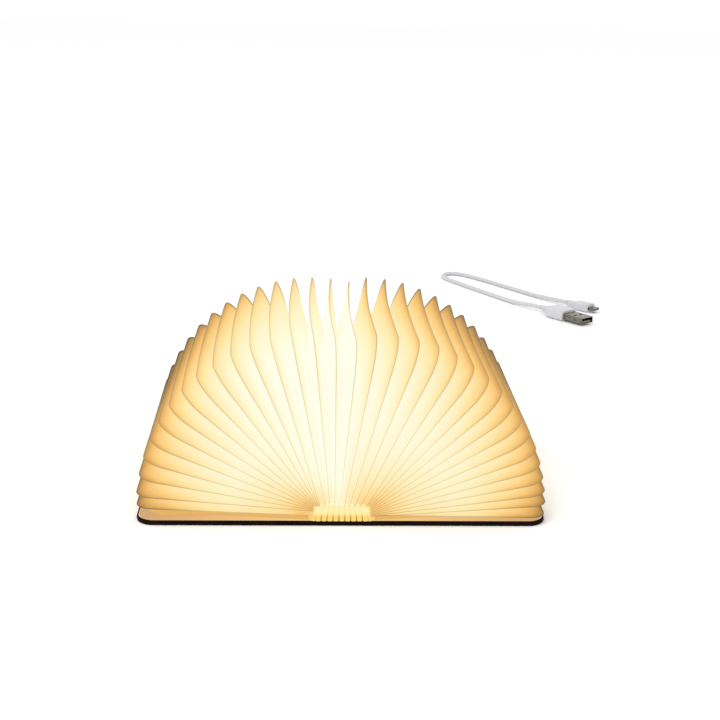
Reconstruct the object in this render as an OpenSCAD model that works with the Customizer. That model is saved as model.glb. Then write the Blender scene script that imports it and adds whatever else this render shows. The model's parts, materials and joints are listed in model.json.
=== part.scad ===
/* [Covers] */
// Length of the covers along the spine
cover_len = 144; // [120:1:170]
// Width of the open lamp, from one cover's edge to the other's
open_w = 202; // [180:1:230]
// Thickness of a cover with its wrap and lining
cover_t = 2.5; // [2.2:0.1:3.5]
// Radius of the covers' outer corners
cover_r = 9; // [4:0.5:14]
// Thickness of the leatherette wrap
wrap_t = 0.5; // [0.3:0.1:0.8]
// Thickness of the paper lining
lining_t = 0.3; // [0.2:0.1:0.5]
// Width of the flexible groove between the spine and a cover
groove_w = 8.5; // [7:0.5:11]

/* [Paper shade] */
// Reach of a pleat from the corner of the light bar to its fore-edge
page_reach = 87; // [80:0.5:94]
// Angle of the innermost left pleat above the left cover
left_fan = 103.5; // [92:0.5:104]
// How far the left pleats crowd towards their cover
left_crowd = 1.07; // [1:0.01:1.3]
// Angle of the innermost right pleat above the right cover
right_fan = 88.4; // [80:0.2:91]
// How far the right pleats crowd towards their cover
right_crowd = 1.27; // [1:0.01:1.3]
// Radius of a pleat's outer corners
page_r = 14; // [8:0.5:18]
// Depth of the folds along the fore-edge
edge_fold = 24; // [16:1:30]
// Depth of the folds at the outer end of the arms
arm_fold = 22; // [14:1:28]
// Depth of the folds where the arms leave the light bar
root_fold = 3; // [2.5:0.5:5]
// How far the fore-edges lean to the left in mid-length, in degrees
page_bow = 1.5; // [0:0.1:2]
// Thickness of the paper, measured along the depth of a fold
sheet_t = 1.2; // [1:0.1:1.6]

/* [Light bar] */
// Width of the light bar
bar_w = 27.6; // [26:0.2:28]
// Height of the light bar's tray
bar_h = 6.6; // [6.2:0.2:8]
// Wall thickness of the tray
bar_wall = 1.2; // [1:0.1:1.6]
// Number of LEDs in a row
led_count = 14; // [8:1:18]

/* [Charging lead] */
// Diameter of the cord
cord_d = 3.2; // [2.6:0.1:3.6]

/* [Hidden] */
half_len = cover_len / 2;
half_open = open_w / 2;
bar_x = bar_w / 2;
board_t = cover_t - wrap_t - lining_t;
spine_x = 12.5;
cover_in = spine_x + groove_w;
rim = 1;
clear = 0.3;
// How far a cut reaches past the face that it opens
past = 1;

// Free pleats on each side of the middle, one node each
n = 16;

bar_z = cover_t;
bar_top = bar_z + bar_h;
bar_y = half_len - 5;
cap_t = 1.8;

// The lens is an arc, thinnest at its two long sides, with a recess over the LEDs.
lens_crown = 1.7;
lens_edge = 0.5;
lens_rim = 5;
lens_recess = 0.6;

// The pivots of the pleats: the innermost ones stand on the bar, the others gather at its corner.
wide_count = 4;
wide_step = 2.4;
narrow_step = 0.28;
first_root = [-wide_step / 2, bar_top + lens_edge + 0.7];
gather = [-bar_x, cover_t + 4.5];

// Points along half of a pleat, and the inner corner of its fold
arm_steps = 5;
corner_steps = 4;
edge_steps = 6;
inner_r = 10;
min_start = 0.4;

// The end leaf of the paper lies on the cover.
leaf_start = 2.5;
leaf_reach = page_reach - 0.5;
leaf_lift = 0.05;

// Block of gathered paper at each end of the bar
gather_t = 2.4;
gather_h = bar_h + 1;
rib_pitch = 3;
rib_depth = 1.2;
rib_side = 0.2;

// Inside the tray, from the near end: a screw pair, the battery, a screw pair, the charge board
board_z = bar_z + bar_wall;
charge_y = bar_y - 29;
charge_w = 18;
charge_t = 1.1;
battery_y0 = -bar_y + 6;
battery_y1 = charge_y - 8;
battery_side = 2;
screw_x = bar_x - 4;
screw_ys = [-bar_y + 3, charge_y - 4];
screw_d = 1.6;
screw_hole_d = 2.2;
screw_head_d = 3.6;
screw_head_t = 1;
screw_tip = wrap_t + clear;
reed_d = 1.6;
reed_len = 12;
reed_at = [-7, charge_y + 3];

// The LEDs stand in two rows on a board under the lens.
led_board_t = 1;
led_z = bar_top - led_board_t - 0.4;
led_size = [2.8, 3.5, 0.7];
led_row_x = 4;
led_pitch = (2 * bar_y - 10) / led_count;

// Charging socket, on the charge board, with its mouth in the far block of paper
socket_w = 7.5;
socket_h = 2.8;
socket_z = board_z + charge_t;
socket_y0 = half_len - 6.4;
socket_y1 = half_len - 0.8;
socket_floor = 0.6;
socket_gap = 0.2;
shell_wall = 0.35;
tongue = [4.4, 4, 0.7];

magnet_d = 8;
magnet_t = 1.2;
magnet_y = 38;
magnet_in = 8;

cord_r = cord_d / 2;
cord_sides = 8;
cord_low = cord_r + 0.05;
lowered = 4;
relief_len = 7;
relief_d = 5;

// The two plugs: [width, height, length] of each grip and each metal shell
usb_grip = [16, 8, 22];
usb_shell = [12, 4.5, 18.8];
usb_wall = 0.4;
usb_tongue_t = 1.4;
usb_window = 2.5;
usb_window_at = 8;
micro_grip = [10.6, 6.4, 16];
micro_size = [6.9, 1.85, 5.5];
micro_wall = 0.3;
micro_slot = 0.6;

// The lead lies on the table behind the lamp: [x, y] of each point, from the large plug to the small one.
cord_route = [
    [165, 350], [159, 358], [152, 367], [145, 378], [138, 390], [131, 402], [124, 414], [117, 426],
    [110, 438], [104, 449], [100, 459], [100, 468], [106, 474], [114, 472], [121, 465], [128, 456],
    [136, 445], [144, 433], [152, 421], [160, 409], [168, 397], [175, 387], [182, 378], [189, 370]
];
usb_dir = [6, -8];
micro_dir = [7, -8];

// Everything is drawn as it stands on the left; the right-hand pieces are mirrored.
module on_side(right) {
    mirror([right ? 1 : 0, 0, 0])
        children();
}

// A plate in plan from x0 outwards to x1, with the two outer corners rounded.
module cover_plan(x0, x1, y, r) {
    union() {
        translate([-x1 + r, -y])
            square([x1 - x0 - r, 2 * y]);
        translate([-x1, -y + r])
            square([r + 1, 2 * (y - r)]);
        for (s = [-1, 1])
            translate([-x1 + r, s * (y - r)])
                circle(r = r, $fn = 64);
    }
}

module plate(x0, x1, y, r, z, t) {
    translate([0, 0, z])
        linear_extrude(height = t)
            cover_plan(x0, x1, y, r);
}

// Covers

module cover_board(right) {
    color("#b9a88a")
        on_side(right)
            difference() {
                plate(cover_in, half_open - rim, half_len - rim, cover_r - rim, wrap_t, board_t);
                for (s = [-1, 1])
                    translate([-half_open + rim + magnet_in, s * magnet_y, wrap_t + board_t - magnet_t])
                        cylinder(h = magnet_t + past, d = magnet_d, $fn = 48);
            }
}

module cover_wrap(right) {
    color("#1f0e08")
        on_side(right)
            difference() {
                plate(cover_in, half_open, half_len, cover_r, 0, cover_t);
                plate(cover_in - past, half_open - rim, half_len - rim, cover_r - rim, wrap_t, cover_t);
            }
}

module cover_lining(right) {
    color("#ead2b0")
        on_side(right)
            plate(cover_in, half_open - rim, half_len - rim, cover_r - rim, cover_t - lining_t, lining_t);
}

module cover_magnets(right) {
    color("#c9ccd0")
        on_side(right)
            for (s = [-1, 1])
                translate([-half_open + rim + magnet_in, s * magnet_y, wrap_t + board_t - magnet_t])
                    cylinder(h = magnet_t, d = magnet_d, $fn = 48);
}

module groove(right) {
    color("#1f0e08")
        on_side(right)
            translate([-cover_in, -half_len, 0])
                cube([groove_w, cover_len, cover_t]);
}

module spine_board() {
    color("#b9a88a")
        difference() {
            translate([-spine_x, -half_len + rim, wrap_t])
                cube([2 * spine_x, cover_len - 2 * rim, cover_t - wrap_t]);
            for (x = [-screw_x, screw_x], y = screw_ys)
                translate([x, y, screw_tip])
                    cylinder(h = cover_t, d = screw_d, $fn = 32);
        }
}

module spine_wrap() {
    color("#1f0e08")
        difference() {
            translate([-spine_x, -half_len, 0])
                cube([2 * spine_x, cover_len, cover_t]);
            translate([-spine_x - past, -half_len + rim, wrap_t])
                cube([2 * (spine_x + past), cover_len - 2 * rim, cover_t]);
        }
}

// Light bar

module bar_tray() {
    color("#f2efe6")
        difference() {
            translate([-bar_x, -bar_y, bar_z])
                cube([bar_w, 2 * bar_y, bar_h]);
            translate([-bar_x + bar_wall, -bar_y - past, board_z])
                cube([bar_w - 2 * bar_wall, 2 * (bar_y + past), bar_h]);
            for (x = [-screw_x, screw_x], y = screw_ys)
                translate([x, y, bar_z - past])
                    cylinder(h = bar_wall + 2 * past, d = screw_hole_d, $fn = 32);
        }
}

// The way through the far end cap and the far block of paper, for the socket and its plug
module socket_way() {
    translate([-socket_w / 2 - socket_gap, bar_y - past, socket_z - socket_gap])
        cube([socket_w + 2 * socket_gap, half_len - bar_y + 2 * past, socket_h + 2 * socket_gap]);
}

module end_caps() {
    color("#f2efe6")
        for (s = [-1, 1])
            difference() {
                translate([-bar_x, s > 0 ? bar_y : -bar_y - cap_t, bar_z])
                    cube([bar_w, cap_t, bar_h]);
                socket_way();
            }
}

// The lens lies on the tray's two long walls.
module diffuser() {
    rise = lens_crown - lens_edge;
    lens_r = (bar_x * bar_x + rise * rise) / (2 * rise);
    color("#fff6dc")
        translate([0, bar_y, bar_top])
            rotate([90, 0, 0])
                linear_extrude(height = 2 * bar_y)
                    difference() {
                        intersection() {
                            translate([0, lens_crown - lens_r])
                                circle(r = lens_r, $fn = 256);
                            translate([-bar_x, 0])
                                square([bar_w, lens_crown]);
                        }
                        translate([-bar_x + lens_rim, -past])
                            square([bar_w - 2 * lens_rim, past + lens_recess]);
                    }
}

module led_board() {
    color("#fbfbf5")
        translate([-bar_x + bar_wall, -bar_y + clear, led_z])
            cube([bar_w - 2 * bar_wall, 2 * (bar_y - clear), led_board_t]);
}

module leds() {
    color("#ffe9a0")
        for (k = [0 : led_count - 1], x = [-led_row_x, led_row_x])
            translate([x, (k - led_count / 2 + 0.5) * led_pitch, led_z + led_board_t])
                translate([-led_size.x / 2, -led_size.y / 2, 0])
                    cube(led_size);
}

module battery() {
    color("#8f9aa6")
        translate([-bar_x + battery_side, battery_y0, board_z])
            cube([bar_w - 2 * battery_side, battery_y1 - battery_y0, led_z - board_z - clear]);
}

module charge_board() {
    color("#1d5a3c")
        translate([-charge_w / 2, charge_y, board_z])
            cube([charge_w, bar_y - charge_y, charge_t]);
}

module usb_socket() {
    mouth_h = socket_h - 2 * shell_wall;
    color("#c2c6ca")
        union() {
            difference() {
                translate([-socket_w / 2, socket_y0, socket_z])
                    cube([socket_w, socket_y1 - socket_y0, socket_h]);
                translate([-socket_w / 2 + shell_wall, socket_y0 + socket_floor, socket_z + shell_wall])
                    cube([socket_w - 2 * shell_wall, socket_y1 - socket_y0, mouth_h]);
            }
            translate([-tongue.x / 2, socket_y0 + socket_floor / 2, socket_z + socket_h / 2 - tongue.z / 4])
                cube(tongue);
        }
}

module reed_switch() {
    color("#a9c7b8")
        translate([reed_at.x, reed_at.y, board_z + charge_t + reed_d / 2])
            rotate([-90, 0, 0])
                cylinder(h = reed_len, d = reed_d, $fn = 32);
}

module bar_screws() {
    color("#b8bcc2")
        for (x = [-screw_x, screw_x], y = screw_ys)
            translate([x, y, 0])
                union() {
                    translate([0, 0, board_z])
                        cylinder(h = screw_head_t, d = screw_head_d, $fn = 32);
                    translate([0, 0, screw_tip])
                        cylinder(h = board_z + screw_head_t / 2 - screw_tip, d = screw_d, $fn = 32);
                }
}

// The gathered paper that closes each end of the bar: a row of narrow ribs.
module rib_row() {
    half = bar_x - rib_side;
    count = floor(2 * half / rib_pitch);
    pitch = 2 * half / count;
    front = [for (k = [0 : 2 * count]) [-half + k * pitch / 2, k % 2 == 0 ? rib_depth : 0]];
    linear_extrude(height = gather_h)
        polygon(concat(front, [[half, gather_t], [-half, gather_t]]));
}

module root_folds() {
    color("#ffe2a0") {
        translate([0, -half_len, bar_z])
            rib_row();
        difference() {
            translate([0, half_len, bar_z])
                mirror([0, 1, 0])
                    rib_row();
            socket_way();
        }
    }
}

// Paper pleats

// Angle of pleat k above its cover, measured at the gather point.
function ridge_angle(right, k) =
    (right ? right_fan : left_fan) * pow(k / n, right ? right_crowd : left_crowd);

function knee(right, k) =
    gather + page_reach * [-cos(ridge_angle(right, k)), sin(ridge_angle(right, k))];

// Turn of pleat k from the closed lamp to this one, about its pivot.
function opening(right, k, root) =
    90 - atan2((knee(right, k) - root).y, (root - knee(right, k)).x);

function step(k) = k >= n - wide_count ? wide_step : narrow_step;

// Each pivot is carried by the pleat nearer the middle, so its step turns with that pleat.
function next_root(right, k, root) =
    root - step(k - 1) * [cos(opening(right, k, root)), sin(opening(right, k, root))];

// The pivots, from the innermost pleat to the outermost.
function roots(right) =
    [for (k = n, root = first_root; k >= 1; root = next_root(right, k, root), k = k - 1) root];

left_roots = roots(false);
right_roots = roots(true);

function root_of(right, k) = (right ? right_roots : left_roots)[n - k];
function reach_of(right, k) = norm(knee(right, k) - root_of(right, k));
function slope_of(right, k) = 90 - opening(right, k, root_of(right, k));

// Distance from the pivot at which a pleat comes out of the bar and its gathered paper.
function start_of(right, k) =
    let (root = root_of(right, k), slope = slope_of(right, k), top = bar_z + gather_h + clear)
        max(min_start, min((root.x + bar_x + clear) / cos(slope), (top - root.y) / sin(slope)));

// Stations along half of a pleat, from the root to mid-length: each is [outer point, inner point], with
// the distance from the pivot first and the distance along the spine from the near end second.
function half_stations(reach, start) = concat(
    [for (i = [0 : arm_steps - 1])
        let (f = i / arm_steps)
            [[start + f * (reach - page_r - start), 0],
             [start + f * (reach - edge_fold - inner_r - start), root_fold + f * (arm_fold - root_fold)]]],
    [for (i = [0 : corner_steps])
        let (a = 90 * i / corner_steps)
            [[reach - page_r + page_r * sin(a), page_r - page_r * cos(a)],
             [reach - edge_fold - inner_r + inner_r * sin(a), arm_fold + inner_r - inner_r * cos(a)]]],
    [for (i = [1 : edge_steps / 2])
        let (f = 2 * i / edge_steps)
            [[reach, page_r + f * (half_len - page_r)],
             [reach - edge_fold, arm_fold + inner_r + f * (half_len - arm_fold - inner_r)]]]);

function far_half(s) = [for (e = s) [e.x, cover_len - e.y]];

function stations(reach, start) =
    let (near = half_stations(reach, start), m = len(near) - 1)
        concat(near, [for (i = [m - 1 : -1 : 0]) far_half(near[i])]);

last_station = 2 * (arm_steps + corner_steps + edge_steps / 2);

// A point of a pleat's plane, at a depth below the outer edge, placed in space on the left-hand side.
function in_plane(root, slope, bow, outer, inner, depth) =
    let (p = outer + (inner - outer) * depth / norm(inner - outer),
         a = slope - bow * sin(180 * p.y / cover_len))
        [root.x - p.x * cos(a), p.y - half_len, root.y + p.x * sin(a)];

function pleat_point(right, k, s, depth) =
    k == 0
        ? let (st = stations(leaf_reach, leaf_start)[s],
               d = norm(st[1] - st[0]),
               p = st[0] + (st[1] - st[0]) * depth / d)
              [gather.x - p.x, p.y - half_len, cover_t + leaf_lift]
        : let (st = stations(reach_of(right, k), start_of(right, k))[s])
              in_plane(root_of(right, k), slope_of(right, k), right ? -page_bow : page_bow,
                       st[0], st[1], depth);

function fold_depth(s) =
    let (st = stations(page_reach, leaf_start)[s]) norm(st[1] - st[0]);

function flip(p) = [-p.x, p.y, p.z];

// A point of the fold between pleat k and pleat k + 1. Past the last pleat it lies between the two sides.
function valley_point(right, k, s, extra) =
    let (depth = fold_depth(s) + extra)
        k == 0 ? pleat_point(right, 0, s, depth)
               : (pleat_point(right, k, s, depth)
                  + (k < n ? pleat_point(right, k + 1, s, depth)
                           : flip(pleat_point(!right, n, s, depth)))) / 2;

// One pleat is a folded strip: six lines run along it, three on the outside and three on the inside.
module pleat(right, k) {
    rings = [for (s = [0 : last_station]) [
        valley_point(right, k - 1, s, 0),
        pleat_point(right, k, s, 0),
        valley_point(right, k, s, 0),
        valley_point(right, k, s, sheet_t),
        pleat_point(right, k, s, sheet_t),
        valley_point(right, k - 1, s, sheet_t)
    ]];
    points = [for (ring = rings, p = ring) p];
    sides = [for (s = [0 : last_station - 1], j = [0 : 5])
        let (a = 6 * s + j, b = 6 * s + (j + 1) % 6, c = a + 6, d = b + 6)
            each (j > 2 ? [[a, b, c], [b, d, c]] : [[a, b, d], [a, d, c]])];
    first_end = [[0, 4, 1], [0, 5, 4], [1, 4, 3], [1, 3, 2]];
    last_end = [for (t = first_end) [t[0], t[2], t[1]] + 6 * last_station * [1, 1, 1]];
    color(k % 2 == 0 ? "#ffe9b8" : "#ffdf9e")
        on_side(right)
            polyhedron(points = points, faces = concat(sides, first_end, last_end), convexity = 8);
}

// Charging lead

function unit(v) = v / norm(v);
function tangent(k) =
    let (m = len(cord_route) - 1)
        unit(cord_route[min(k + 1, m)] - cord_route[max(k - 1, 0)]);

module lead_cord() {
    m = len(cord_route) - 1;
    directions = [for (k = [0 : m]) k == 0 ? -unit(usb_dir) : k == m ? unit(micro_dir) : tangent(k)];
    points = [for (k = [0 : m], j = [0 : cord_sides - 1])
        let (a = 360 * (j + 0.5) / cord_sides, t = directions[k])
            [cord_route[k].x - t.y * cord_r * cos(a), cord_route[k].y + t.x * cord_r * cos(a),
             route_z(k) + cord_r * sin(a)]];
    sides = [for (k = [0 : m - 1], j = [0 : cord_sides - 1])
        let (a = k * cord_sides + j, b = k * cord_sides + (j + 1) % cord_sides)
            each [[a, a + cord_sides, b], [b, a + cord_sides, b + cord_sides]]];
    first_end = [for (j = [0 : cord_sides - 1]) j];
    last_end = [for (j = [cord_sides - 1 : -1 : 0]) m * cord_sides + j];
    color("#f2f2f2")
        polyhedron(points = points, faces = concat(sides, [first_end], [last_end]), convexity = 6);
}

// The cord comes down from the middle of a plug to the table within its first points.
function route_z(k) =
    let (m = len(cord_route) - 1,
         from_end = min(k, m - k),
         top = (k < m / 2 ? usb_grip.y : micro_grip.y) / 2,
         f = (1 + cos(180 * min(from_end / lowered, 1))) / 2)
        cord_low + (top - cord_low) * f;

// Places children, drawn along +X from the cord's end, at one end of the route. The grip lies on the table.
module at_end(p, dir, size) {
    translate([p.x, p.y, size.y / 2])
        rotate([0, 0, atan2(dir.y, dir.x)])
            children();
}

module along_x(h, d1, d2) {
    rotate([0, 90, 0])
        cylinder(h = h, d1 = d1, d2 = d2, $fn = 48);
}

module rounded(r) {
    offset(r = r, $fn = 24)
        offset(delta = -r)
            children();
}

// A moulded grip: a tapered strain relief, sloping shoulders and a block with rounded edges.
module grip(size) {
    half = size.x / 2;
    shoulder = size.x / 5;
    edge_r = size.y / 6;
    outline = [
        [0, shoulder - half], [shoulder, -half], [size.z, -half],
        [size.z, half], [shoulder, half], [0, half - shoulder]
    ];
    union() {
        along_x(relief_len + edge_r, cord_d + 0.8, relief_d);
        translate([relief_len, 0, 0])
            intersection() {
                translate([0, 0, -size.y / 2])
                    linear_extrude(height = size.y)
                        rounded(edge_r)
                            polygon(outline);
                rotate([90, 0, 90])
                    linear_extrude(height = size.z)
                        rounded(edge_r)
                            square([size.x, size.y], center = true);
            }
    }
}

module usb_a_grip() {
    color("#ececec")
        at_end(cord_route[0], usb_dir, usb_grip)
            grip(usb_grip);
}

module usb_a_shell() {
    inner = [1, -usb_shell.x / 2 + usb_wall];
    inner_w = usb_shell.x - 2 * usb_wall;
    color("#c2c6ca")
        at_end(cord_route[0], usb_dir, usb_grip)
            translate([relief_len + usb_grip.z, 0, 0]) {
                difference() {
                    translate([0, -usb_shell.x / 2, -usb_shell.y / 2])
                        cube([usb_shell.z, usb_shell.x, usb_shell.y]);
                    translate([inner.x, inner.y, -usb_shell.y / 2 + usb_wall])
                        cube([usb_shell.z, inner_w, usb_shell.y - 2 * usb_wall]);
                    for (y = [-usb_shell.x / 4, usb_shell.x / 4])
                        translate([usb_window_at, y - usb_window / 2, -usb_shell.y])
                            cube([usb_window, usb_window, 2 * usb_shell.y]);
                }
                translate([inner.x, inner.y, -usb_shell.y / 2 + usb_wall])
                    cube([usb_shell.z - 2 * inner.x, inner_w, usb_tongue_t]);
            }
}

module micro_grip() {
    color("#ececec")
        at_end(cord_route[len(cord_route) - 1], micro_dir, micro_grip)
            grip(micro_grip);
}

module micro_shell() {
    color("#8d9196")
        at_end(cord_route[len(cord_route) - 1], micro_dir, micro_grip)
            translate([relief_len + micro_grip.z, 0, 0])
                difference() {
                    translate([0, -micro_size.x / 2, -micro_size.y / 2])
                        cube([micro_size.z, micro_size.x, micro_size.y]);
                    translate([past, -micro_size.x / 2 + micro_wall, -micro_size.y / 2 + micro_wall])
                        cube([micro_size.z, micro_size.x - 2 * micro_wall, micro_slot]);
                }
}

spine_board();
spine_wrap();
groove(false);  // left_groove
groove(true);  // right_groove
cover_board(false);  // left_board
cover_board(true);  // right_board
cover_wrap(false);  // left_wrap
cover_wrap(true);  // right_wrap
cover_lining(false);  // left_lining
cover_lining(true);  // right_lining
cover_magnets(false);  // left_magnets
cover_magnets(true);  // right_magnets
bar_tray();
end_caps();
diffuser();
led_board();
leds();
battery();
charge_board();
usb_socket();
reed_switch();
bar_screws();
root_folds();
pleat(false, 1);  // left_pleat_01
pleat(false, 2);  // left_pleat_02
pleat(false, 3);  // left_pleat_03
pleat(false, 4);  // left_pleat_04
pleat(false, 5);  // left_pleat_05
pleat(false, 6);  // left_pleat_06
pleat(false, 7);  // left_pleat_07
pleat(false, 8);  // left_pleat_08
pleat(false, 9);  // left_pleat_09
pleat(false, 10);  // left_pleat_10
pleat(false, 11);  // left_pleat_11
pleat(false, 12);  // left_pleat_12
pleat(false, 13);  // left_pleat_13
pleat(false, 14);  // left_pleat_14
pleat(false, 15);  // left_pleat_15
pleat(false, 16);  // left_pleat_16
pleat(true, 1);  // right_pleat_01
pleat(true, 2);  // right_pleat_02
pleat(true, 3);  // right_pleat_03
pleat(true, 4);  // right_pleat_04
pleat(true, 5);  // right_pleat_05
pleat(true, 6);  // right_pleat_06
pleat(true, 7);  // right_pleat_07
pleat(true, 8);  // right_pleat_08
pleat(true, 9);  // right_pleat_09
pleat(true, 10);  // right_pleat_10
pleat(true, 11);  // right_pleat_11
pleat(true, 12);  // right_pleat_12
pleat(true, 13);  // right_pleat_13
pleat(true, 14);  // right_pleat_14
pleat(true, 15);  // right_pleat_15
pleat(true, 16);  // right_pleat_16
lead_cord();
usb_a_grip();
usb_a_shell();
micro_grip();
micro_shell();
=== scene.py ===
import json
import math

import bmesh
import bpy
import numpy as np
from mathutils import Matrix

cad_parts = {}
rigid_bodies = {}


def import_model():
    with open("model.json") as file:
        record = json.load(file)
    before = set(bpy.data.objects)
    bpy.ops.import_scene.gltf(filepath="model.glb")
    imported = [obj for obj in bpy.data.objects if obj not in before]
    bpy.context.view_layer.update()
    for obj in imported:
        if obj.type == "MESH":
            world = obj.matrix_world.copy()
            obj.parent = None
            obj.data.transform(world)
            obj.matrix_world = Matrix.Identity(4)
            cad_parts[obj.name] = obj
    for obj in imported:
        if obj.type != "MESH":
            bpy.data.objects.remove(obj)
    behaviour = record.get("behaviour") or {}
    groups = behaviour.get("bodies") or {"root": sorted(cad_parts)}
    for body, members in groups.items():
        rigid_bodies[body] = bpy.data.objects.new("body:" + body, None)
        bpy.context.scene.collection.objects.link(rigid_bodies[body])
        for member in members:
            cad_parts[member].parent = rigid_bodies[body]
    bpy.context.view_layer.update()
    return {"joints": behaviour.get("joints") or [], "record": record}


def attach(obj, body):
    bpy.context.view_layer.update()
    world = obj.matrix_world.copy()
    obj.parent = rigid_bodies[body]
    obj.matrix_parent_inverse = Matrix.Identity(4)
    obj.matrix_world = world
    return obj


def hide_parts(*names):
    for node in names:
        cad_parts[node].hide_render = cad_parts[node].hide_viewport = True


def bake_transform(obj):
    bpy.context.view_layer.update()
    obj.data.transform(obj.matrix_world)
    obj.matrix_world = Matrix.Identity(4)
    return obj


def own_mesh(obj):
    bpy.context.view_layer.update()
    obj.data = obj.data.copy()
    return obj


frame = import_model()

print("frame loaded")

# Tools for colours, nodes and meshes


def linear(hexColour):
    channels = [int(hexColour[i:i + 2], 16) / 255 for i in (1, 3, 5)]
    return tuple(c / 12.92 if c <= 0.04045 else ((c + 0.055) / 1.055) ** 2.4 for c in channels) + (1.0,)


def addNode(tree, kind, inputs=None, **settings):
    node = tree.nodes.new("ShaderNode" + kind)
    for name, value in settings.items():
        setattr(node, name, value)
    for socket, value in (inputs or {}).items():
        if isinstance(value, bpy.types.NodeSocket):
            tree.links.new(value, node.inputs[socket])
        else:
            node.inputs[socket].default_value = value
    return node


def newMaterial(name, inputs):
    material = bpy.data.materials.new(name)
    material.use_nodes = True
    tree = material.node_tree
    tree.nodes.clear()
    shader = addNode(tree, "BsdfPrincipled")
    for socket, value in inputs(tree).items():
        if isinstance(value, bpy.types.NodeSocket):
            tree.links.new(value, shader.inputs[socket])
        else:
            shader.inputs[socket].default_value = value
    addNode(tree, "OutputMaterial", {"Surface": shader.outputs["BSDF"]})
    return material


def colourRamp(tree, factor, stops):
    node = addNode(tree, "ValToRGB", {"Fac": factor})
    elements = node.color_ramp.elements
    while len(elements) < len(stops):
        elements.new(0.5)
    for element, (position, colour) in zip(elements, stops):
        element.position = position
        element.color = linear(colour)
    return node.outputs["Color"]


def noise(tree, scale, detail=4.0, stretch=(1.0, 1.0, 1.0)):
    place = addNode(tree, "TexCoord").outputs["Object"]
    mapped = addNode(tree, "Mapping", {"Vector": place, "Scale": stretch}).outputs["Vector"]
    return addNode(tree, "TexNoise", {"Vector": mapped, "Scale": scale, "Detail": detail}).outputs["Fac"]


def bump(tree, height, distance, strength=1.0):
    return addNode(tree, "Bump", {"Height": height, "Distance": distance, "Strength": strength}).outputs["Normal"]


def gridFaces(rows, columns, loop=False):
    across = columns if loop else columns - 1
    i, j = np.meshgrid(np.arange(rows - 1), np.arange(across), indexing="ij")
    after = (j + 1) % columns
    corners = [i * columns + j, i * columns + after, (i + 1) * columns + after, (i + 1) * columns + j]
    return np.stack(corners, -1).reshape(-1, 4)


# The two faces that close a tube at its first and last ring
def endCaps(rows, columns):
    return list(range(columns))[::-1], [(rows - 1) * columns + c for c in range(columns)]


def meshPiece(name, points, faces, material, attributes=None, caps=()):
    mesh = bpy.data.meshes.new(name)
    corners = [list(face) for face in faces] + [list(cap) for cap in caps]
    mesh.from_pydata(np.asarray(points).reshape(-1, 3).tolist(), [], corners)
    mesh.polygons.foreach_set("use_smooth", np.ones(len(mesh.polygons), bool))
    for key, values in (attributes or {}).items():
        layer = mesh.attributes.new(key, "FLOAT", "POINT")
        layer.data.foreach_set("value", np.asarray(values, np.float32).ravel())
    mesh.materials.append(material)
    mesh.update()
    piece = bpy.data.objects.new(name, mesh)
    bpy.context.scene.collection.objects.link(piece)
    return piece


def fixNormals(piece):
    work = bmesh.new()
    work.from_mesh(piece.data)
    bmesh.ops.recalc_face_normals(work, faces=work.faces)
    work.to_mesh(piece.data)
    work.free()


def flatEnds(piece):
    for polygon in piece.data.polygons:
        if len(polygon.vertices) > 4:
            polygon.use_smooth = False


# Every side is worked out as if on the left, then mirrored for the right.
def mirrored(points, right):
    return points * np.array([-1.0 if right else 1.0, 1.0, 1.0])


# Camera, floor and studio light

studio = {
    "cameraAt": (-0.0200, -0.7264, 0.2783),
    "yawDeg": -2.4,
    "pitchDeg": 16.44,
    "rollDeg": 1.09,
    "lensMm": 72.0,
    "sensorMm": 36.0,
    "clip": (0.05, 50.0),
    "floorHalf": 4.0,
    "floorColour": "#f8f8f8",
    "worldStrength": 1.05,
    "keyWatts": 6.0,
    "keySize": 0.8,
    "keyAt": (-0.5, -0.5, 1.2),
    "keyTiltDeg": (26, -28),  # about x and about y
}


def makeCamera():
    yaw, pitch, roll = (math.radians(studio[k]) for k in ("yawDeg", "pitchDeg", "rollDeg"))
    ahead = np.array([-math.sin(yaw) * math.cos(pitch), math.cos(yaw) * math.cos(pitch), -math.sin(pitch)])
    level = np.array([math.cos(yaw), math.sin(yaw), 0.0])
    upright = np.cross(level, ahead)
    right = math.cos(roll) * level + math.sin(roll) * upright
    up = -math.sin(roll) * level + math.cos(roll) * upright
    data = bpy.data.cameras.new("camera")
    data.lens = studio["lensMm"]
    data.sensor_width = studio["sensorMm"]
    data.clip_start, data.clip_end = studio["clip"]
    camera = bpy.data.objects.new("camera", data)
    turn = np.eye(4)
    turn[:3, 0], turn[:3, 1], turn[:3, 2] = right, up, -ahead
    turn[:3, 3] = studio["cameraAt"]
    camera.matrix_world = Matrix(turn.tolist())
    bpy.context.scene.collection.objects.link(camera)
    bpy.context.scene.camera = camera


def makeFloor():
    material = newMaterial("white_sweep", lambda tree: {
        "Base Color": linear(studio["floorColour"]),
        "Roughness": 0.9,
        "Specular IOR Level": 0.0,
    })
    half = studio["floorHalf"]
    points = [[-half, -half, 0], [half, -half, 0], [half, half, 0], [-half, half, 0]]
    meshPiece("floor", points, [[0, 1, 2, 3]], material)


def makeLight():
    world = bpy.data.worlds.new("studio")
    world.use_nodes = True
    background = world.node_tree.nodes["Background"]
    background.inputs["Color"].default_value = (1.0, 1.0, 1.0, 1.0)
    background.inputs["Strength"].default_value = studio["worldStrength"]
    bpy.context.scene.world = world
    data = bpy.data.lights.new("key", "AREA")
    data.energy = studio["keyWatts"]
    data.size = studio["keySize"]
    lamp = bpy.data.objects.new("key", data)
    aboutX, aboutY = (math.radians(angle) for angle in studio["keyTiltDeg"])
    turn = Matrix.Rotation(aboutY, 4, "Y") @ Matrix.Rotation(aboutX, 4, "X")
    lamp.matrix_world = Matrix.Translation(studio["keyAt"]) @ turn
    bpy.context.scene.collection.objects.link(lamp)


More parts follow.
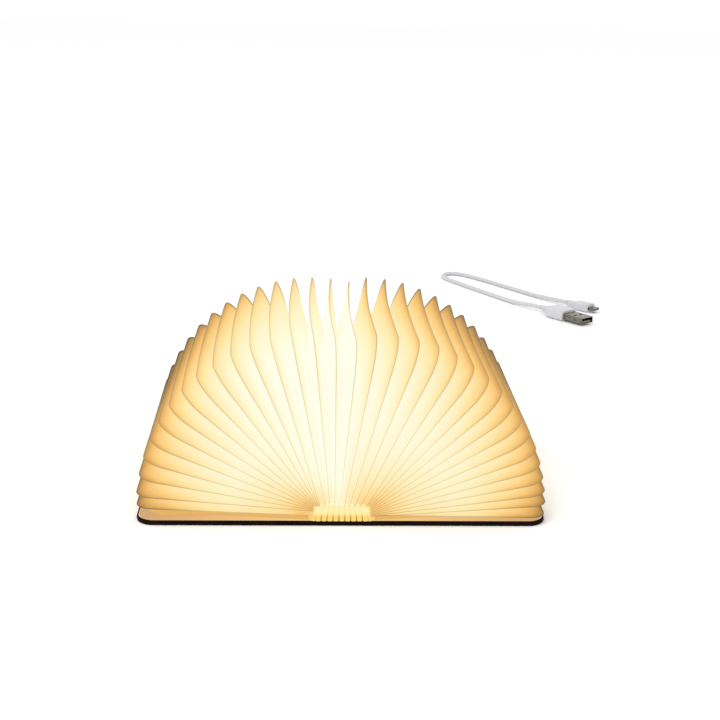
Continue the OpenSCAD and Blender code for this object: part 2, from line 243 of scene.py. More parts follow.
makeCamera()
makeFloor()
makeLight()
bpy.context.scene.view_settings.view_transform = "Standard"
print("camera and studio ready")

# Materials

# Colours of each paper from where it hides the light most to where it shows it most
papers = {
    "pleat": [
        (0.00, "#8a7044"), (0.12, "#b68c50"), (0.25, "#dda95c"), (0.38, "#f6c677"), (0.50, "#ffda93"),
        (0.62, "#ffe8ae"), (0.75, "#fdf1c6"), (0.88, "#fef8da"), (1.00, "#fffdee"),
    ],
    "lip": [
        (0.00, "#463820"), (0.20, "#77603c"), (0.35, "#a58a58"), (0.50, "#c6ad78"), (0.70, "#ddcc9c"),
        (0.85, "#e9dfb8"), (1.00, "#efe8c8"),
    ],
    "leaf": [
        (0.00, "#a98662"), (0.30, "#d0a97a"), (0.60, "#ecbf84"), (1.00, "#fbd892"),
    ],
    "ribs": [
        (0.00, "#a8864c"), (0.30, "#d9b468"), (0.50, "#fbd676"), (0.70, "#fce693"), (1.00, "#f9f2c6"),
    ],
    "fibre": 0.05,  # how much the fibres change the glow
    "emission": 0.86,
    "dimming": 0.86,  # how much of the colour is left to the emission
}


def litPaper(name, kind):
    def inputs(tree):
        fibre = papers["fibre"]
        glow = addNode(tree, "Attribute", attribute_name="glow").outputs["Fac"]
        cloud = noise(tree, 90.0, 3.0)
        grain = noise(tree, 900.0, 2.0, (1.0, 0.35, 1.0))
        mottled = addNode(tree, "Math", {0: cloud, 1: fibre, 2: glow}, operation="MULTIPLY_ADD").outputs[0]
        level = addNode(tree, "Math", {0: grain, 1: fibre, 2: mottled}, operation="MULTIPLY_ADD").outputs[0]
        centred = addNode(tree, "Math", {0: level, 1: fibre}, operation="SUBTRACT").outputs[0]
        colour = colourRamp(tree, centred, papers[kind])
        black = (0.0, 0.0, 0.0, 1.0)
        dim = addNode(tree, "Mix", {"Factor": papers["dimming"], 6: colour, 7: black}, data_type="RGBA").outputs[2]
        return {
            "Base Color": dim,
            "Roughness": 0.7,
            "Specular IOR Level": 0.1,
            "Emission Color": colour,
            "Emission Strength": papers["emission"],
            "Normal": bump(tree, grain, 0.00008, 0.5),
        }
    return newMaterial(name, inputs)


def grainedLeatherette():
    def inputs(tree):
        place = addNode(tree, "TexCoord").outputs["Object"]
        cells = addNode(tree, "TexVoronoi", {"Vector": place, "Scale": 1100.0}, feature="F1").outputs["Distance"]
        pores = noise(tree, 2600.0, 2.0)
        patches = noise(tree, 60.0, 3.0)
        height = addNode(tree, "Math", {0: cells, 1: 0.7, 2: pores}, operation="MULTIPLY_ADD").outputs[0]
        return {
            "Base Color": colourRamp(tree, patches, [(0.35, "#0e0502"), (0.65, "#170903")]),
            "Roughness": 0.6,
            "Specular IOR Level": 0.06,
            "Normal": bump(tree, height, 0.00015, 0.6),
        }
    return newMaterial("dark_brown_leatherette", inputs)


# The lining's emission is painted light from the lit paper over it.
def liningPaper():
    def inputs(tree):
        fibres = noise(tree, 700.0, 3.0, (1.0, 0.2, 1.0))
        colour = colourRamp(tree, fibres, [(0.3, "#e2c49a"), (0.7, "#edd3ae")])
        return {
            "Base Color": colour,
            "Roughness": 0.75,
            "Specular IOR Level": 0.15,
            "Emission Color": colour,
            "Emission Strength": 0.25,
            "Normal": bump(tree, fibres, 0.00005, 0.4),
        }
    return newMaterial("lining_paper", inputs)


def whiteLeadPlastic():
    def inputs(tree):
        haze = noise(tree, 400.0, 2.0)
        return {
            "Base Color": colourRamp(tree, haze, [(0.3, "#c0c0c4"), (0.7, "#c8c8cc")]),
            "Roughness": 0.38,
            "Specular IOR Level": 0.4,
            "Subsurface Weight": 0.05,
            "Subsurface Radius": (0.001, 0.001, 0.001),
            "Normal": bump(tree, haze, 0.00003, 0.3),
        }
    return newMaterial("white_lead_plastic", inputs)


def brushedPlate(name, dark, pale, roughness):
    def inputs(tree):
        streaks = noise(tree, 500.0, 3.0, (1.0, 0.05, 1.0))
        return {
            "Base Color": colourRamp(tree, streaks, [(0.3, dark), (0.7, pale)]),
            "Metallic": 1.0,
            "Roughness": roughness,
            "Normal": bump(tree, streaks, 0.00002, 0.4),
        }
    return newMaterial(name, inputs)


def mottledPlastic(name, dark, pale, roughness, glow=0.0):
    def inputs(tree):
        patches = noise(tree, 250.0, 3.0)
        colour = colourRamp(tree, patches, [(0.3, dark), (0.7, pale)])
        return {
            "Base Color": colour,
            "Roughness": roughness,
            "Emission Color": colour,
            "Emission Strength": glow,
            "Normal": bump(tree, patches, 0.00004, 0.3),
        }
    return newMaterial(name, inputs)


paper = litPaper("pleat_paper_lit", "pleat")
foldLip = litPaper("pleat_fold_lip", "lip")
endLeaf = litPaper("glued_end_leaf", "leaf")
gatheredPaper = litPaper("gathered_paper", "ribs")
leatherette = grainedLeatherette()
leadPlastic = whiteLeadPlastic()
plugSteel = brushedPlate("plated_steel", "#5f5b54", "#8a857c", 0.25)
slotMaterials = {
    "leatherette": leatherette,
    "greyboard": mottledPlastic("greyboard", "#8c7a5e", "#a08e70", 0.9),
    "lining_paper": liningPaper(),
    # Emission in the inner paper and the tray is painted light from the LEDs inside.
    "pleat_paper": mottledPlastic("inner_paper", "#f3c67c", "#fbd892", 0.8, 0.7),
    "tray_plastic": mottledPlastic("tray_plastic", "#efdcb0", "#f6e6c0", 0.45, 0.3),
    "lens_plastic": mottledPlastic("frosted_lens", "#f6e6b0", "#fbf0c4", 0.5, 0.75),
    # Emission in the white board is painted light from the LEDs inside.
    "circuit_board": mottledPlastic("white_solder_mask", "#eeeee6", "#f8f8f2", 0.4, 0.3),
    "led_phosphor": mottledPlastic("led_phosphor", "#ffe08a", "#fff0b4", 0.4, 3.0),
    "battery_foil": brushedPlate("battery_foil", "#8a9098", "#a4aab2", 0.45),
    "green_board": mottledPlastic("green_solder_mask", "#164a30", "#1d5c3c", 0.35),
    "steel": plugSteel,
    "switch_glass": mottledPlastic("reed_switch_glass", "#8fb0a0", "#a9c7b8", 0.15),
    "magnet_nickel": brushedPlate("magnet_nickel", "#b8babe", "#d0d2d6", 0.2),
    "lead_plastic": leadPlastic,
}


def dressCadNodes():
    for part in frame["record"]["subparts"]:
        node = bpy.data.objects[part["node"]]
        node.data.materials.clear()
        node.data.materials.append(slotMaterials[part["material_slot"]])


dressCadNodes()
print("materials ready")

# Charging lead

lead = {
    "diameter": 0.0032,
    "route": [  # millimetres along x and y, from the large plug to the small one
        (165, 350), (159, 358), (152, 367), (145, 378), (138, 390), (131, 402), (124, 414), (117, 426),
        (110, 438), (104, 449), (100, 459), (100, 468), (106, 474), (114, 472), (121, 465), (128, 456),
        (136, 445), (144, 433), (152, 421), (160, 409), (168, 397), (175, 387), (182, 378), (189, 370),
    ],
    "aboveTable": 0.00005,
    "largePlugHeight": 0.004,
    "smallPlugHeight": 0.0032,
    "lowered": 4,  # stations from a plug until the cord lies on the table
}


def leadPoints():
    route = np.array(lead["route"], float) / 1000
    last = len(route) - 1
    step = np.arange(last + 1)
    fromEnd = np.minimum(np.minimum(step, last - step), lead["lowered"])
    top = np.where(step < last / 2, lead["largePlugHeight"], lead["smallPlugHeight"])
    low = lead["diameter"] / 2 + lead["aboveTable"]
    height = low + (top - low) * (1 + np.cos(np.pi * fromEnd / lead["lowered"])) / 2
    return np.column_stack([route, height])


def makeLead():
    points = leadPoints()
    data = bpy.data.curves.new("lead", "CURVE")
    data.dimensions = "3D"
    data.bevel_depth = lead["diameter"] / 2
    data.bevel_resolution = 6
    data.resolution_u = 8
    data.use_fill_caps = True
    spline = data.splines.new("BEZIER")
    spline.bezier_points.add(len(points) - 1)
    for place, point in zip(spline.bezier_points, points):
        place.co = point
        place.handle_left_type = place.handle_right_type = "AUTO"
    data.materials.append(leadPlastic)
    piece = bpy.data.objects.new("lead", data)
    bpy.context.scene.collection.objects.link(piece)
    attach(piece, "spine")
    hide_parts("lead_cord")


grips = {
    "usb_a_grip": {"end": 0, "heading": (6, -8), "size": (0.016, 0.008, 0.022)},
    "micro_grip": {"end": -1, "heading": (7, -8), "size": (0.0106, 0.0064, 0.016)},
    "relief": 0.007,
    "reliefRadius": 0.0025,
    "cordRadius": 0.0020,
    "step": 0.0002,
    "around": 48,
    # Rings from the relief on: share of the length, of the width and of the height, and how square the ring is
    "profile": [
        (0.09, 0.60, 0.80, 3.0), (0.11, 0.66, 0.84, 3.4), (0.22, 0.97, 0.96, 4.5), (0.26, 1.0, 1.0, 5.0),
        (0.60, 1.0, 1.0, 5.0), (0.97, 1.0, 1.0, 5.0), (0.995, 0.985, 0.97, 5.0), (1.0, 0.95, 0.93, 5.0),
    ],
}


def gripRings(halfWide, halfThick, length):
    relief, cord, neck = grips["relief"], grips["cordRadius"], grips["reliefRadius"]
    rings = [
        (0.0, cord, cord, 2.0),
        (relief * 0.45, (cord + neck) / 2, (cord + neck) / 2, 2.0),
        (relief * 0.9, neck, neck, 2.0),
        (relief, neck * 1.05, neck * 1.02, 2.0),
        (relief + grips["step"], halfWide * 0.52, halfThick * 0.74, 2.6),
    ]
    for share, wide, thick, power in grips["profile"]:
        rings.append((relief + length * share, halfWide * wide, halfThick * thick, power))
    return rings


def makeGrip(node):
    size, heading = grips[node]["size"], grips[node]["heading"]
    cordEnd = np.array(lead["route"][grips[node]["end"]]) / 1000
    rings = gripRings(size[0] / 2, size[1] / 2, size[2])
    a = np.linspace(0, 2 * np.pi, grips["around"], endpoint=False)
    direction = np.array(heading, float) / np.linalg.norm(heading)
    aside = np.array([-direction[1], direction[0]])
    grid = np.empty((len(rings), len(a), 3))
    for row, (x, wide, thick, power) in enumerate(rings):
        y = wide * np.sign(np.cos(a)) * np.abs(np.cos(a)) ** (2 / power)
        grid[row, :, :2] = cordEnd + direction * x + y[:, None] * aside
        grid[row, :, 2] = size[1] / 2 + thick * np.sign(np.sin(a)) * np.abs(np.sin(a)) ** (2 / power)
    rows, columns = grid.shape[:2]
    piece = meshPiece(f"{node}_moulding", grid, gridFaces(rows, columns, loop=True), leadPlastic,
                      caps=endCaps(rows, columns))
    fixNormals(piece)
    flatEnds(piece)
    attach(piece, "spine")
    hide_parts(node)


makeGrip("usb_a_grip")
makeGrip("micro_grip")
makeLead()
print("lead made")

# Covers and spine

covers = {
    "length": 0.144,
    "halfOpen": 0.101,
    "thickness": 0.0025,
    "corner": 0.009,
    "spineHalf": 0.0125,
    "innerEdge": 0.021,
    "rim": 0.001,
    "rimDrop": 0.0004,
    "edgeRound": 0.0009,
    "grooveDip": 0.0005,
    "cornerSteps": 17,
    "edgeSteps": 6,
    "grooveColumns": 25,
    "spineColumns": 9,
}


def coverOutline(inset):
    radius = covers["corner"] - inset
    halfLen = covers["length"] / 2 - inset
    outer = covers["halfOpen"] - inset
    arc = np.linspace(0, np.pi / 2, covers["cornerSteps"])
    nearArc = np.column_stack([-(outer - radius) - radius * np.sin(arc), -(halfLen - radius) - radius * np.cos(arc)])
    farArc = nearArc[::-1] * [1, -1]
    return np.vstack([[-covers["innerEdge"], -halfLen], nearArc, farArc, [-covers["innerEdge"], halfLen]])


def makeCoverWrap(side):
    radius, thick = covers["edgeRound"], covers["thickness"]
    arc = np.linspace(0, np.pi / 2, covers["edgeSteps"])
    lower = [(radius * (1 - math.sin(a)), radius * (1 - math.cos(a))) for a in arc]
    upper = [(inset, thick - height) for inset, height in reversed(lower)]
    profile = lower + upper + [(covers["rim"], thick - covers["rimDrop"])]
    rings = np.array([np.insert(coverOutline(inset), 2, height, axis=1) for inset, height in profile])
    rows, columns = rings.shape[:2]
    piece = meshPiece(f"{side}_cover_wrap", mirrored(rings, side == "right"), gridFaces(rows, columns, loop=True),
                      leatherette, caps=endCaps(rows, columns))
    fixNormals(piece)
    flatEnds(piece)
    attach(piece, f"{side}_cover")
    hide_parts(f"{side}_wrap")


# A strip of the cover's thickness along the spine, from one x to another, with rounded ends.
def stripRings(x0, x1, columns, dip):
    thick, halfLen, radius = covers["thickness"], covers["length"] / 2, covers["edgeRound"]
    arc = np.linspace(0, np.pi / 2, covers["edgeSteps"])
    near = np.column_stack([-halfLen + radius * (1 - np.sin(arc)), radius * (1 - np.cos(arc))])
    nearTop = near[::-1] * [1, -1] + [0, thick]
    far = nearTop[::-1] * [-1, 1]
    farTop = near[::-1] * [-1, 1]
    section = np.vstack([near, nearTop, far, farTop])
    share = np.linspace(0, 1, columns)
    sink = dip * np.sin(np.pi * share) ** 2
    rings = np.empty((columns, len(section), 3))
    rings[..., 0] = (x0 + (x1 - x0) * share)[:, None]
    rings[..., 1] = section[:, 0]
    rings[..., 2] = section[:, 1] - np.where(section[:, 1] > thick / 2, sink[:, None], 0)
    return rings


def makeStrip(name, x0, x1, columns, dip):
    rings = stripRings(x0, x1, columns, dip)
    rows, around = rings.shape[:2]
    piece = meshPiece(name, rings, gridFaces(rows, around, loop=True), leatherette, caps=endCaps(rows, around))
    fixNormals(piece)
    return piece


# A piece across a groove gets its placing baked into its mesh and stays where it is at rest.
def bendWithGroove(piece):
    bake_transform(piece)


for side in ("left", "right"):
    makeCoverWrap(side)
    outward = 1 if side == "right" else -1
    groove = makeStrip(f"{side}_groove_strip", outward * covers["spineHalf"], outward * covers["innerEdge"],
                       covers["grooveColumns"], covers["grooveDip"])
    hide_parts(f"{side}_groove")
    bendWithGroove(groove)
spineStrip = makeStrip("spine_strip", -covers["spineHalf"], covers["spineHalf"], covers["spineColumns"], 0.0)
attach(spineStrip, "spine")
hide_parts("spine_wrap")
print("covers made")

# Paper pleats

pleats = {
    "count": 16,
    "reach": 0.087,
    "gather": (-0.0138, 0.007),
    "corner": 0.014,
    "lowCorner": 0.007,
    "cornerSlopesDeg": [3, 30],  # the corner grows from the low one to the full one between these slopes
    "innerCorner": 0.010,
    "edgeFold": 0.024,
    "armFold": 0.022,
    "rootFold": 0.003,
    "leanDeg": 1.5,
    "fullLeanFrom": 4,  # the pages below this one lean less, so that they lie flat in the closed book
    "barHalf": 0.0138,
    "barTop": 0.0101,
    "clear": 0.0003,
    "leastStart": 0.0004,
    "leafStart": 0.0025,
    "leafShorter": 0.0005,
    "coverLift": 0.00005,
    "armSteps": 22,
    "cornerSteps": 10,
    "edgeSteps": 18,
    "leafColumns": 8,
    "bendShare": 0.6,
    "topShare": 0.52,
    "topFull": 0.8,
}
lowest = {
    # Distance from the middle and height of the fold at two places
    "fold": {"left": ((0.018, 0.0056), (0.094, 0.0088)), "right": ((0.018, 0.0058), (0.094, 0.0048))},
    "foot": 0.010,
    "mostRoom": 0.5,
    "lift": 0.00025,
    "glow": 0.3,
    # Share of the cover's turn at the fold's outer end, its growth per metre outwards and per metre down
    "turn": {"left": (0.87, 0.9, 10.5), "right": (0.928, 1.4, 12.5)},
    "flattened": 0.08,
}
joints = {j["name"]: j for j in frame["joints"]}
ratios = {c["joint"]: c["ratio"] for c in frame["record"]["behaviour"]["couplings"]}


# Each page of a side, as if on the left: pivot, slope above the cover and reach, from the joints of the frame.
def readPages(side):
    pages = {0: {"root": np.array(pleats["gather"]), "slope": 0.0, "start": pleats["leafStart"],
                 "reach": pleats["reach"] - pleats["leafShorter"]}}
    opening = 0.0
    for k in range(pleats["count"], 0, -1):
        name = f"{side}_page_{k:02d}_fold"
        opening += 90 * ratios[name]
        x, _, z = joints[name]["pos_m"]
        root = np.array([x if side == "left" else -x, z])
        slope = math.radians(90 - opening)
        offset = root - np.array(pleats["gather"])
        along = offset @ np.array([-math.cos(slope), math.sin(slope)])
        reach = -along + math.sqrt(along * along - offset @ offset + pleats["reach"] ** 2)
        outAtSide = (root[0] + pleats["barHalf"] + pleats["clear"]) / math.cos(slope)
        outAtTop = (pleats["barTop"] + pleats["clear"] - root[1]) / math.sin(slope)
        start = max(pleats["leastStart"], min(outAtSide, outAtTop))
        pages[k] = {"root": root, "slope": slope, "reach": reach, "start": start}
    return pages


# Outer and inner edges of a page, as distances from the pivot and along the spine from the near end.
def pageEdges(reach, start, slope):
    half = covers["length"] / 2
    f = np.linspace(0, 1, pleats["armSteps"], endpoint=False)
    a = np.linspace(0, np.pi / 2, pleats["cornerSteps"] + 1)
    e = np.linspace(0, 1, pleats["edgeSteps"] + 1)[1:]
    corner = np.interp(math.degrees(slope), pleats["cornerSlopesDeg"], [pleats["lowCorner"], pleats["corner"]])
    inner = pleats["innerCorner"]
    edge, arm, root = pleats["edgeFold"], pleats["armFold"], pleats["rootFold"]
    outer = np.vstack([
        np.column_stack([start + f * (reach - corner - start), 0 * f]),
        np.column_stack([reach - corner + corner * np.sin(a), corner - corner * np.cos(a)]),
        np.column_stack([reach + 0 * e, corner + e * (half - corner)]),
    ])
    inside = np.vstack([
        np.column_stack([start + f * (reach - edge - inner - start), root + f * (arm - root)]),
        np.column_stack([reach - edge - inner + inner * np.sin(a), arm + inner - inner * np.cos(a)]),
        np.column_stack([reach - edge + 0 * e, arm + inner + e * (half - arm - inner)]),
    ])
    whole = []
    for line in (outer, inside):
        far = line[-2::-1] * [1, -1] + [0, covers["length"]]
        whole.append(np.vstack([line, far]))
    return whole


# A line on a page, some depth in from its outer edge, leaning most in mid-length
def pageLine(page, k, depth, lean):
    outer, inside = pageEdges(page["reach"], page["start"], page["slope"])
    gap = inside - outer
    p = outer + gap / np.linalg.norm(gap, axis=1)[:, None] * depth[:, None]
    y = p[:, 1] - covers["length"] / 2
    if k == 0:
        onCover = np.full(len(p), covers["thickness"] + pleats["coverLift"])
        return np.column_stack([page["root"][0] - p[:, 0], y, onCover])
    angle = page["slope"] - lean * np.sin(np.pi * p[:, 1] / covers["length"])
    return np.column_stack([page["root"][0] - p[:, 0] * np.cos(angle), y, page["root"][1] + p[:, 0] * np.sin(angle)])


# The lowest fold stands a few millimetres over the cover. Its lower sheet comes down on the end leaf.
def lowestFold(side, outerLine, innerLine):
    (x0, z0), (x1, z1) = lowest["fold"][side]
    ridge, foot = outerLine.copy(), outerLine.copy()
    distance = -ridge[:, 0]
    ridge[:, 2] = z0 + (z1 - z0) * (distance - x0) / (x1 - x0)
    inwards = innerLine - outerLine
    room = np.linalg.norm(inwards, axis=1)
    share = np.minimum(lowest["foot"] / room, lowest["mostRoom"])
    foot += inwards * share[:, None]
    foot[:, 2] = covers["thickness"] + lowest["lift"]
    return ridge, foot


# The lowest fold gets its placing baked into its mesh and stays where it is at rest.
def bendLowest(piece):
    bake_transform(piece)


# How far in from a page's outer edge the valley lies
def foldDepth():
    outer, inside = pageEdges(pleats["reach"], pleats["leafStart"], math.pi / 2)
    return np.linalg.norm(inside - outer, axis=1)


# How brightly the paper shows the light inside, from 0 to 1. Reaches are millimetres from the gathered paper.
glows = {
    "reach": [0, 5, 12, 22, 32, 41, 51, 61, 71, 80, 87],
    "level": [0.42, 0.44, 0.58, 0.75, 0.84, 0.90, 0.87, 0.80, 0.71, 0.62, 0.52],
    "middle": 0.95,  # of an upright page
    "middleReach": 20,
    # Slope at which a page starts to count as upright, slopes until it is fully so, and the most it counts
    "upright": {"left": (30, 52, 1), "right": (45, 90, 0.5)},
    "lowShade": 0.24,
    "lowShadeSlope": 14,
    "lowShadeReach": 30,
    "swingReach": [0, 25, 50, 72],
    "swing": [0.03, 0.07, 0.17, 0.30],  # from a pleat's lower fold to its upper one
    "swingLessUpright": 0.4,
    "swingPower": 0.55,
    "foldShade": 0.04,
    "foldShadeUpright": 0.14,
    "foldShadeWidth": 0.12,
    "farShade": {"left": 0.28, "right": 0.24},
    "farShadeFrom": 0.25,  # share of the length
    "farShadePower": 1.2,
    "farShadeReach": (35, 35),  # where it starts and how long it takes to grow
    "least": 0.02,
    "most": 0.97,
}


# Across runs from 0 at the lower fold of a gap between pleats to 1 at the upper fold.
def glowAt(points, slopeDeg, across, right):
    side = "right" if right else "left"
    gather = np.array(pleats["gather"])
    reach = np.hypot(points[..., 0] - gather[0], points[..., 2] - gather[1]) * 1000
    level = np.interp(reach, glows["reach"], glows["level"])
    fromSlope, overSlope, mostUpright = glows["upright"][side]
    upright = np.clip((slopeDeg - fromSlope) / overSlope, 0, mostUpright)
    level = level + (glows["middle"] - level) * upright * np.clip(reach / glows["middleReach"], 0, 1)
    lowShade = glows["lowShade"] * math.exp(-max(slopeDeg, 0) / glows["lowShadeSlope"])
    level = level - lowShade * np.clip(reach / glows["lowShadeReach"], 0, 1)
    swing = np.interp(reach, glows["swingReach"], glows["swing"]) * (1 - glows["swingLessUpright"] * upright)
    foldShade = glows["foldShade"] + glows["foldShadeUpright"] * upright
    level = level + swing * (2 * across ** glows["swingPower"] - 1)
    level = level - foldShade * np.exp(-across / glows["foldShadeWidth"])
    along = points[..., 1] / covers["length"] + 0.5
    farPart = np.clip((along - glows["farShadeFrom"]) / (1 - glows["farShadeFrom"]), 0, 1) ** glows["farShadePower"]
    shadeStart, shadeGrowth = glows["farShadeReach"]
    level = level - glows["farShade"][side] * farPart * np.clip((reach - shadeStart) / shadeGrowth, 0, 1)
    return np.clip(level, glows["least"], glows["most"])


# Paper from one outer edge down into the valley, and up again to the other edge where there is one
def makeSheet(name, lineA, valley, lineB, slopeDeg, right, acrossA=1.0):
    columns = pleats["leafColumns"]
    t = np.linspace(0, 1, columns + 1)
    leafA = lineA[:, None] * (1 - t)[None, :, None] + valley[:, None] * t[None, :, None]
    sheetParts, across = [leafA], [acrossA + (0.5 - acrossA) * t]
    if lineB is not None:
        back = t[::-1][1:]
        sheetParts.append(lineB[:, None] * (1 - back)[None, :, None] + valley[:, None] * back[None, :, None])
        across.append(0.5 * back)
    grid = np.concatenate(sheetParts, axis=1)
    glow = glowAt(grid, slopeDeg, np.concatenate(across)[None, :], right)
    faces = gridFaces(*grid.shape[:2])
    return meshPiece(name, mirrored(grid, right), faces, paper, {"glow": glow})


lips = {
    "radius": 0.00028,
    "around": 8,
    "reach": [0, 0.03, 0.07],
    "thickness": [0.25, 0.8, 1.0],
    "farGrowth": 0.7,
    # The crease glows less further out: painted shade.
    "darkerReach": [0.03, 0.07],
    "darker": [0.04, 0.20],
}


# The crease along a pleat's outer edge, as a thin tube
def makeLip(name, line, slopeDeg, right):
    tangent = np.gradient(line, axis=0)
    tangent /= np.linalg.norm(tangent, axis=1)[:, None]
    gather = np.array([pleats["gather"][0], 0, pleats["gather"][1]])
    outward = line - gather
    outward[:, 1] = line[:, 1]
    outward -= (outward * tangent).sum(1)[:, None] * tangent
    outward /= np.linalg.norm(outward, axis=1)[:, None]
    sideways = np.cross(tangent, outward)
    a = np.linspace(0, 2 * np.pi, lips["around"], endpoint=False)
    ring = outward[:, None] * np.cos(a)[None, :, None] + sideways[:, None] * np.sin(a)[None, :, None]
    reach = np.linalg.norm((line - gather)[:, [0, 2]], axis=1)
    along = line[:, 1] / covers["length"] + 0.5
    radius = lips["radius"] * np.interp(reach, lips["reach"], lips["thickness"]) * (1 + lips["farGrowth"] * along)
    grid = line[:, None] + radius[:, None, None] * ring
    glow = glowAt(np.repeat(line[:, None], len(a), 1), slopeDeg, 0.5, right)
    glow = glow - np.interp(reach, lips["darkerReach"], lips["darker"])[:, None]
    rows, around = grid.shape[:2]
    piece = meshPiece(name, mirrored(grid, right), gridFaces(rows, around, loop=True), foldLip, {"glow": glow},
                      endCaps(rows, around))
    fixNormals(piece)
    return piece


# The left sheet of the middle gap turns with its page. The right one gets its placing baked into its mesh
# and stays where it is at rest.
def bendTop(sheet):
    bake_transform(sheet)


# The first page's sheet gets a mesh of its own.
def flattenWithCover(sheet):
    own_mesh(sheet)


def makeLowest(side, ridge, foot):
    right = side == "right"
    lip = makeLip(f"{side}_fold_lip_00", ridge, 0.0, right)
    sheet = makeSheet(f"{side}_sheet_00", ridge, foot, None, 0.0, right)
    glow = np.full(len(sheet.data.vertices), lowest["glow"], np.float32)
    sheet.data.attributes["glow"].data.foreach_set("value", glow)
    for piece in (lip, sheet):
        bendLowest(piece)


# The sheet between two pages gets its placing baked into its mesh and stays where it is at rest.
def bendSheet(sheet, lineA, lineB, right):
    station = pleats["armSteps"] - 1
    a, b = mirrored(lineA[station], right) * [1, 0, 1], mirrored(lineB[station], right) * [1, 0, 1]
    middle, half = (a + b) / 2, (b - a) / 2 * pleats["bendShare"]
    gather = np.array([pleats["gather"][0], 0.0, pleats["gather"][1]])
    outwards = middle - mirrored(gather, right)
    outwards /= np.linalg.norm(outwards)
    half = half - (half @ outwards) * outwards
    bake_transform(sheet)


def makeFan():
    sides = {side: readPages(side) for side in ("left", "right")}
    depth = foldDepth()
    noDepth = np.zeros_like(depth)
    lines, inners = {}, {}
    for side, pages in sides.items():
        fullLean = math.radians(pleats["leanDeg"] if side == "left" else -pleats["leanDeg"])
        for k, page in pages.items():
            lean = fullLean * np.interp(k, [1, pleats["fullLeanFrom"]], [0, 1])
            lines[side, k] = pageLine(page, k, noDepth, lean)
            inners[side, k] = pageLine(page, k, depth, lean)
        lines[side, 0], foot = lowestFold(side, lines[side, 0], inners[side, 0])
        inners[side, 0][:, 2] = lines[side, 0][:, 2]
        makeLowest(side, lines[side, 0], foot)
    middle = (inners["left", pleats["count"]] + inners["right", pleats["count"]] * [-1, 1, 1]) / 2
    for side, pages in sides.items():
        right = side == "right"
        for k in range(1, pleats["count"] + 1):
            page, body = pages[k], f"{side}_page_{k:02d}"
            slopeDeg = math.degrees(page["slope"])
            lip = makeLip(f"{side}_fold_lip_{k:02d}", lines[side, k], slopeDeg, right)
            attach(lip, body)
            below = (inners[side, k - 1] + inners[side, k]) / 2
            upper = lines[side, k]
            lower = lines[side, k - 1]
            sheet = makeSheet(f"{side}_sheet_{k:02d}", upper, below, lower if k > 1 else None, slopeDeg, right)
            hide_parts(f"{side}_pleat_{k:02d}")
            if k == 1:
                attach(sheet, body)
                flattenWithCover(sheet)
                lowerLeaf = makeSheet(f"{side}_sheet_01_lower", lower, below, None, slopeDeg, right, 0.0)
                bendLowest(lowerLeaf)
                continue
            bendSheet(sheet, upper, lower, right)
        valley = middle * [-1, 1, 1] if right else middle
        last = pleats["count"]
        top = makeSheet(f"{side}_sheet_top", lines[side, last], valley, None, 90.0, right, 0.0)
        if right:
            bendTop(top)
        else:
            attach(top, f"{side}_page_{last:02d}")


makeFan()
print("fan made")

# End leaves, glued flat on the covers from the bar's corner outwards

leaves = {
    "barSide": 0.01395,
    "barSideTop": 0.0072,
    "foot": 0.0152,
    "outer": 0.0998,
    "halfLength": 0.0715,
    "corner": 0.008,
    "lift": 0.00012,
    "gussetLift": 0.00005,
    "bendSteps": 6,
    "flatSteps": 60,
    "columns": 25,
    "glowFrom": [0.014, 0.017, 0.03, 0.06, 0.1],
    "glow": [0.95, 0.75, 0.78, 0.60, 0.30],
    "gussetGlow": 0.95,
}


def makeEndLeaf(side):
    right = side == "right"
    down = np.linspace(0, 1, leaves["bendSteps"])
    z0 = covers["thickness"] + leaves["lift"]
    x = leaves["barSide"] + (leaves["foot"] - leaves["barSide"]) * down ** 1.5
    z = leaves["barSideTop"] + (z0 - leaves["barSideTop"]) * (1 - (1 - down) ** 1.5)
    flat = leaves["foot"] + (leaves["outer"] - leaves["foot"]) * np.linspace(0, 1, leaves["flatSteps"])[1:]
    x = np.concatenate([x, flat])
    z = np.concatenate([z, np.full(len(flat), z0)])
    inCorner = np.clip(x - (leaves["outer"] - leaves["corner"]), 0, None)
    half = leaves["halfLength"] - leaves["corner"] + np.sqrt(np.clip(leaves["corner"] ** 2 - inCorner ** 2, 0, None))
    share = np.linspace(-1, 1, leaves["columns"])
    grid = np.empty((len(x), len(share), 3))
    grid[..., 0], grid[..., 1], grid[..., 2] = -x[:, None], half[:, None] * share[None], z[:, None]
    glow = np.repeat(np.interp(x, leaves["glowFrom"], leaves["glow"]), len(share))
    points, faces, levels = [grid.reshape(-1, 3)], [gridFaces(*grid.shape[:2])], [glow]
    for column in (0, -1):
        front = grid[:len(down), column]
        gusset = np.stack([front, front * [1, 1, 0] + [0, 0, covers["thickness"] + leaves["gussetLift"]]], 1)
        faces.append(gridFaces(*gusset.shape[:2]) + sum(len(p) for p in points))
        points.append(gusset.reshape(-1, 3))
        levels.append(np.full(gusset.shape[0] * 2, leaves["gussetGlow"]))
    piece = meshPiece(f"{side}_end_leaf", mirrored(np.vstack(points), right), np.vstack(faces), endLeaf,
                      {"glow": np.concatenate(levels)})
    bendWithGroove(piece)


for side in ("left", "right"):
    makeEndLeaf(side)
print("end leaves made")

# Gathered paper at the ends of the bar

ribs = {
    "half": 0.0141,
    "lean": 0.15,
    "pitch": 0.0029,
    "depth": 0.0004,
    "low": 0.0025,
    "high": 0.0101,
    "thick": 0.0024,
    "columns": 140,
    "rows": 20,
    "socketHalf": 0.00395,
    "socketLow": 0.0046,
    "socketHigh": 0.0078,
    "glow": (0.52, 0.36),  # at the bottom, and what the top has more
    "brighterFrom": 0.3,
    "brighterOver": 0.3,
    "grooveShade": (0.14, 0.46),  # at the top, and what the bottom has more
    "grooveShadeHeight": 0.45,
    "grooveSharpness": 10,
    "grooveFading": 0.25,
    "flankGlow": 0.42,
}


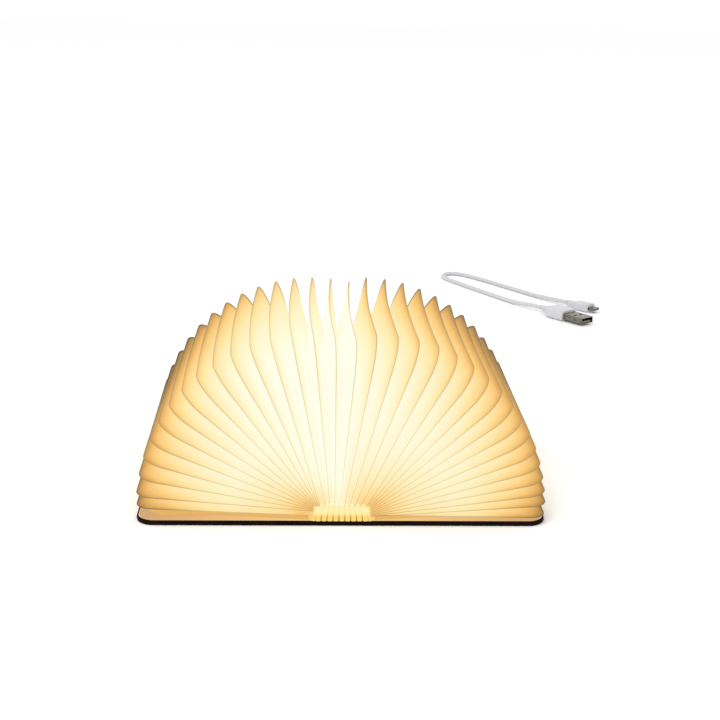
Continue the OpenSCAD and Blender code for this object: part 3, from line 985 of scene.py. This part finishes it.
def makeRibs(name, nearEnd):
    share = np.linspace(-1, 1, ribs["columns"] + 1)
    level = np.linspace(ribs["low"], ribs["high"], ribs["rows"])
    if not nearEnd:
        level = np.sort(np.append(level, [ribs["socketLow"], ribs["socketHigh"]]))
        edge = ribs["socketHalf"] / ribs["half"]
        share = np.sort(np.append(share, [-edge, edge]))
    wave = 0.5 - 0.5 * np.cos(2 * np.pi * ribs["half"] * share / ribs["pitch"])
    height = (level - ribs["low"]) / (ribs["high"] - ribs["low"])
    lean = ribs["lean"] * height ** 2 if nearEnd else 0 * height
    x = ribs["half"] * share[None] * (1 - lean[:, None])
    y = -covers["length"] / 2 + ribs["depth"] * wave[None] ** 2 * (1 - 0.5 * height[:, None])
    front = np.stack([x, y + 0 * x, level[:, None] + 0 * x], -1)
    behind = -covers["length"] / 2 + ribs["thick"]
    flanks = front[:, [0, -1]].copy()
    flanks[..., 0] = np.sign(flanks[..., 0]) * ribs["half"]
    flanks[..., 1] = behind
    grid = np.concatenate([flanks[:, :1], front, flanks[:, 1:]], axis=1)
    lid = grid[-1:].copy()
    lid[..., 1] = behind
    grid = np.concatenate([grid, lid])
    full = np.append(height, 1.0)[:, None]
    waves = np.concatenate([[0], wave, [0]])[None]
    fading = np.concatenate([[0], np.clip((1 - np.abs(share)) / ribs["grooveFading"], 0, 1), [0]])[None]
    low, more = ribs["glow"]
    glow = low + more * np.clip((full - ribs["brighterFrom"]) / ribs["brighterOver"], 0, 1)
    shade, deeper = ribs["grooveShade"]
    shade = shade + deeper * np.exp(-(full / ribs["grooveShadeHeight"]) ** 2)
    glow = glow - shade * waves ** ribs["grooveSharpness"] * fading
    glow[:, [0, -1]] = ribs["flankGlow"]
    faces = gridFaces(*grid.shape[:2])
    if not nearEnd:
        grid[..., 1] *= -1
        middle = grid.reshape(-1, 3)[faces].mean(1)
        inWidth = np.abs(middle[:, 0]) < ribs["socketHalf"]
        inHeight = (middle[:, 2] > ribs["socketLow"]) & (middle[:, 2] < ribs["socketHigh"])
        faces = faces[~(inWidth & inHeight)]
    piece = meshPiece(name, grid, faces, gatheredPaper, {"glow": glow})
    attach(piece, "spine")
    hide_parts("root_folds")


makeRibs("near_ribs", True)
makeRibs("far_ribs", False)
print("ribs made")
